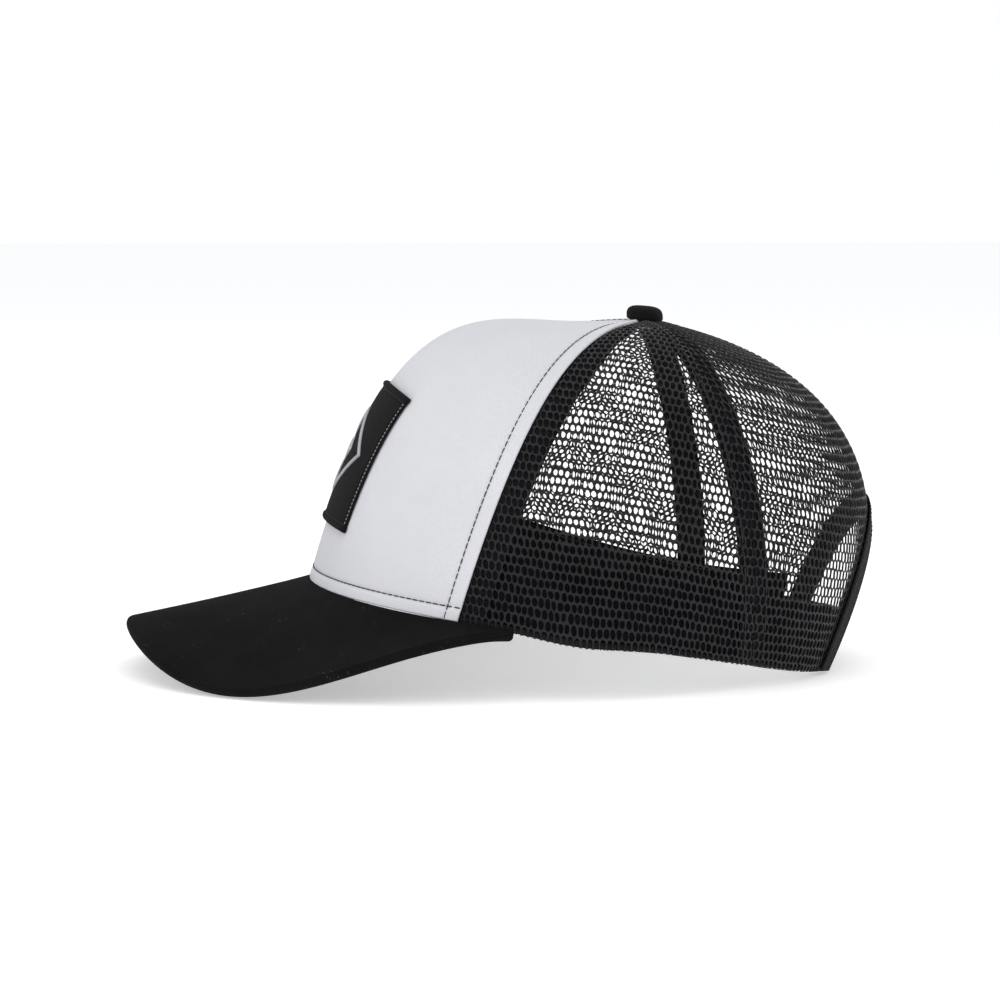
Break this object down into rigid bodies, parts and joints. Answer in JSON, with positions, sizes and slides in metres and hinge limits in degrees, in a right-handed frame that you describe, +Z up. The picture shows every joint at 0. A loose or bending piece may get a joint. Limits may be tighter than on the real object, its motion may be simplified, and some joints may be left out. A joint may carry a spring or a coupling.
{
  "type": "trucker mesh cap",
  "caption": "Trucker cap with a light stiffened front panel, mesh side and back panels, a curved black brim and a snap strap across an arched back opening.",
  "frame": {"origin": "centre of the cap's bounding box, on the table that the cap stands on", "axes": "+Z up, -Y towards the brim, +X towards the wearer's left"},
  "size_m": [0.1764, 0.2796, 0.134],
  "materials": {
    "front_cloth": "matte",
    "buckram": "matte",
    "black_thread": "satin",
    "mesh": "satin",
    "tape": "matte",
    "sweatband_cloth": "matte",
    "padding": "matte",
    "board_plastic": "satin",
    "brim_cloth": "matte",
    "steel": "satin",
    "patch_cloth": "matte",
    "grey_thread": "satin",
    "strap_plastic": "satin"
  },
  "bodies": {
    "cap": {"front_panel": "front_cloth", "front_stiffener": "buckram", "front_topstitch": "black_thread", "side_mesh_left": "mesh", "side_mesh_right": "mesh", "back_mesh_left": "mesh", "back_mesh_right": "mesh", "seam_tape_front_left": "tape", "seam_tape_front_right": "tape", "seam_tape_side_left": "tape", "seam_tape_side_right": "tape", "seam_tape_back": "tape", "arch_binding": "tape", "sweatband": "sweatband_cloth", "sweatband_padding": "padding", "brim_board": "board_plastic", "brim_top_cover": "brim_cloth", "brim_under_cover": "brim_cloth", "button_cover": "brim_cloth", "button_shell": "steel", "button_tack": "steel", "patch": "patch_cloth", "patch_stitching": "grey_thread", "patch_emblem": "grey_thread", "peg_strap_tab": "strap_plastic", "hole_strap_tab": "strap_plastic"},
    "outer_strap": {"hole_strap": "strap_plastic"},
    "inner_strap": {"peg_strap": "strap_plastic"}
  },
  "joints": [
    {"name": "outer_strap_flex", "type": "hinge", "parent": "cap", "child": "outer_strap", "pos_m": [0.02446, 0.1213, 0.0101], "axis": [0, 0, -1], "range_deg": [0, 90], "stiffness_Nm_per_rad": 0.004},
    {"name": "inner_strap_flex", "type": "hinge", "parent": "cap", "child": "inner_strap", "pos_m": [-0.0239, 0.11978, 0.0101], "axis": [0, 0, -1], "range_deg": [0, 80], "stiffness_Nm_per_rad": 0.004}
  ]
}
